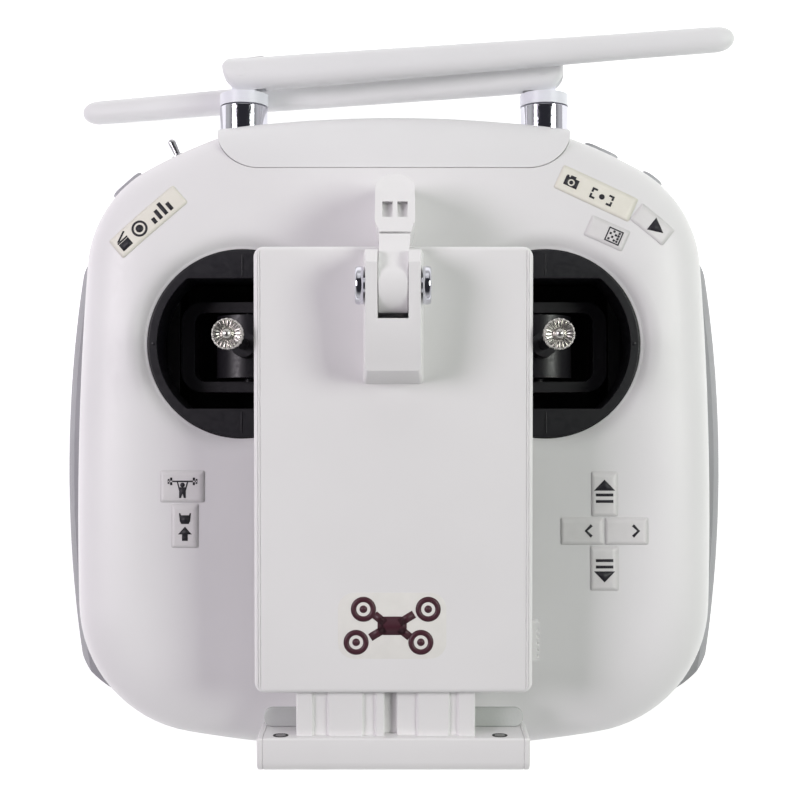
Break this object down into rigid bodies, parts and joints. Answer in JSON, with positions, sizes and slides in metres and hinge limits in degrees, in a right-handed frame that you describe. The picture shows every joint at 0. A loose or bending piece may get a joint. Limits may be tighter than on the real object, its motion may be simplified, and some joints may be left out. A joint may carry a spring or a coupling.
{
  "type": "radio transmitter controller",
  "caption": "Hand-held radio transmitter with two spring-centred sticks, folding bar antennas, shoulder controls and a fold-over clamp that holds a mobile device.",
  "frame": {"origin": "on the flat land of the rear shell, on the centre line, below the middle of the face", "axes": "+Z out of the front face, towards the user; +Y towards the antennas; +X to the user's right"},
  "size_m": [0.1844, 0.1942, 0.0947],
  "materials": {
    "case_white": "smooth satin",
    "deck_white": "smooth satin",
    "holder_white": "semi gloss",
    "collar_white": "semi gloss",
    "antenna_white": "soft matt",
    "grip_rubber": "soft grey",
    "pad_rubber": "matt grey",
    "well_black": "moulded black",
    "gimbal_black": "moulded black",
    "gimbal_grey": "moulded dark grey",
    "dial_grey": "moulded grey",
    "spring_steel": "wire",
    "screw_steel": "machined",
    "stick_metal": "machined",
    "switch_metal": "plated",
    "chrome_ring": "polished",
    "shield_metal": "sheet",
    "circuit_board": "solder mask",
    "battery_wrap": "shrink wrap",
    "light_pipe": "frosted",
    "lead_jacket": "smooth jacket",
    "label_paper": "printed film",
    "badge_film": "printed film"
  },
  "bodies": {
    "controller": {"front_shell": "case_white", "rear_shell": "case_white", "top_deck": "deck_white", "left_grip_pad": "grip_rubber", "right_grip_pad": "grip_rubber", "left_stick_well": "well_black", "right_stick_well": "well_black", "left_gimbal_frame": "gimbal_black", "right_gimbal_frame": "gimbal_black", "gimbal_springs": "spring_steel", "main_board": "circuit_board", "radio_module": "shield_metal", "battery_pack": "battery_wrap", "fan_housing": "gimbal_black", "rear_vent": "well_black", "ports": "shield_metal", "status_lights": "light_pipe", "button_switches": "gimbal_black", "holder_arm": "holder_white", "case_screws": "screw_steel", "left_antenna_socket": "chrome_ring", "right_antenna_socket": "chrome_ring", "coax_leads": "lead_jacket", "toggle_switch": "switch_metal", "dial_encoders": "gimbal_black", "face_labels": "label_paper"},
    "left_yoke": {"left_yoke": "gimbal_grey"},
    "right_yoke": {"right_yoke": "gimbal_grey"},
    "left_stick": {"left_stick": "gimbal_grey", "left_stick_head": "stick_metal"},
    "right_stick": {"right_stick": "gimbal_grey", "right_stick_head": "stick_metal"},
    "left_antenna_base": {"left_antenna_swivel": "collar_white"},
    "right_antenna_base": {"right_antenna_swivel": "collar_white"},
    "left_antenna": {"left_antenna_blade": "antenna_white", "left_antenna_pin": "collar_white"},
    "right_antenna": {"right_antenna_blade": "antenna_white", "right_antenna_pin": "collar_white"},
    "toggle_lever": {"toggle_lever": "switch_metal"},
    "gimbal_dial": {"gimbal_dial": "dial_grey"},
    "settings_dial": {"settings_dial": "dial_grey"},
    "record_button": {"record_button": "dial_grey"},
    "shutter_button": {"shutter_button": "dial_grey"},
    "playback_button": {"playback_button": "dial_grey"},
    "power_button": {"power_button": "holder_white"},
    "home_button": {"home_button": "holder_white"},
    "left_rear_button": {"left_rear_button": "dial_grey"},
    "right_rear_button": {"right_rear_button": "dial_grey"},
    "fan_rotor": {"fan_rotor": "gimbal_black"},
    "holder": {"cradle_bracket": "holder_white", "cradle_cover": "holder_white", "cradle_tray": "holder_white", "tray_pad": "pad_rubber", "cradle_badge": "badge_film", "hinge_pin": "chrome_ring"},
    "clamp": {"clamp_rails": "holder_white", "clamp_jaw": "holder_white", "jaw_pad": "pad_rubber", "jaw_screws": "screw_steel"},
    "clamp_release": {"release_button": "holder_white"}
  },
  "joints": [
    {"name": "left_stick_pitch", "type": "hinge", "parent": "controller", "child": "left_yoke", "pos_m": [-0.0405, 0.023, 0.03], "axis": [1, 0, 0], "range_deg": [-22, 22], "stiffness_Nm_per_rad": 0.08},
    {"name": "left_stick_roll", "type": "hinge", "parent": "left_yoke", "child": "left_stick", "pos_m": [-0.0405, 0.023, 0.03], "axis": [0, 1, 0], "range_deg": [-22, 2], "stiffness_Nm_per_rad": 0.08},
    {"name": "right_stick_pitch", "type": "hinge", "parent": "controller", "child": "right_yoke", "pos_m": [0.0405, 0.023, 0.03], "axis": [1, 0, 0], "range_deg": [-22, 22], "stiffness_Nm_per_rad": 0.08},
    {"name": "right_stick_roll", "type": "hinge", "parent": "right_yoke", "child": "right_stick", "pos_m": [0.0405, 0.023, 0.03], "axis": [0, 1, 0], "range_deg": [-2, 22], "stiffness_Nm_per_rad": 0.08},
    {"name": "left_antenna_swivel", "type": "hinge", "parent": "controller", "child": "left_antenna_base", "pos_m": [-0.0422, 0.085, 0.03], "axis": [0, -1, 0], "range_deg": [0, 173]},
    {"name": "left_antenna_fold", "type": "hinge", "parent": "left_antenna_base", "child": "left_antenna", "pos_m": [-0.0422, 0.1, 0.03], "axis": [-0.1219, 0, 0.9925], "range_deg": [0, 88.1]},
    {"name": "right_antenna_swivel", "type": "hinge", "parent": "controller", "child": "right_antenna_base", "pos_m": [0.0422, 0.085, 0.03], "axis": [0, -1, 0], "range_deg": [0, 172]},
    {"name": "right_antenna_fold", "type": "hinge", "parent": "right_antenna_base", "child": "right_antenna", "pos_m": [0.0422, 0.1, 0.03], "axis": [0.1392, 0, -0.9903], "range_deg": [0, 92.8]},
    {"name": "toggle_swing", "type": "hinge", "parent": "controller", "child": "toggle_lever", "pos_m": [-0.0579, 0.0719, 0.0355], "axis": [0, 0, 1], "range_deg": [-12, 12]},
    {"name": "gimbal_dial_turn", "type": "hinge", "parent": "controller", "child": "gimbal_dial", "pos_m": [-0.06556, 0.06562, 0.02], "axis": [0, 0, 1], "range_deg": [-30, 30], "stiffness_Nm_per_rad": 0.02},
    {"name": "settings_dial_turn", "type": "hinge", "parent": "controller", "child": "settings_dial", "pos_m": [0.06556, 0.06562, 0.02], "axis": [0, 0, 1], "continuous": true},
    {"name": "record_press", "type": "slide", "parent": "controller", "child": "record_button", "axis": [0.6691, -0.7431, 0], "range_m": [0, 0.001], "stiffness_N_per_m": 300},
    {"name": "shutter_press", "type": "slide", "parent": "controller", "child": "shutter_button", "axis": [-0.4131, -0.9107, 0], "range_m": [0, 0.001], "stiffness_N_per_m": 300},
    {"name": "playback_press", "type": "slide", "parent": "controller", "child": "playback_button", "axis": [-0.6032, -0.7976, 0], "range_m": [0, 0.001], "stiffness_N_per_m": 300},
    {"name": "power_press", "type": "slide", "parent": "controller", "child": "power_button", "axis": [0, 0, -1], "range_m": [0, 0.001], "stiffness_N_per_m": 300},
    {"name": "home_press", "type": "slide", "parent": "controller", "child": "home_button", "axis": [0, 0, -1], "range_m": [0, 0.001], "stiffness_N_per_m": 300},
    {"name": "left_rear_press", "type": "slide", "parent": "controller", "child": "left_rear_button", "axis": [0, 0, 1], "range_m": [0, 0.0008], "stiffness_N_per_m": 300},
    {"name": "right_rear_press", "type": "slide", "parent": "controller", "child": "right_rear_button", "axis": [0, 0, 1], "range_m": [0, 0.0008], "stiffness_N_per_m": 300},
    {"name": "fan_spin", "type": "hinge", "parent": "controller", "child": "fan_rotor", "pos_m": [0, 0.024, 0.007], "axis": [0, 0, 1], "continuous": true},
    {"name": "holder_tilt", "type": "hinge", "parent": "controller", "child": "holder", "pos_m": [0, 0.034, 0.088], "axis": [-1, 0, 0], "range_deg": [0, 135]},
    {"name": "clamp_slide", "type": "slide", "parent": "holder", "child": "clamp", "axis": [0, -0.9983, -0.0576], "range_m": [-0.011, 0.08]},
    {"name": "clamp_release_press", "type": "slide", "parent": "holder", "child": "clamp_release", "axis": [-1, 0, 0], "range_m": [0, 0.0016], "stiffness_N_per_m": 400}
  ]
}
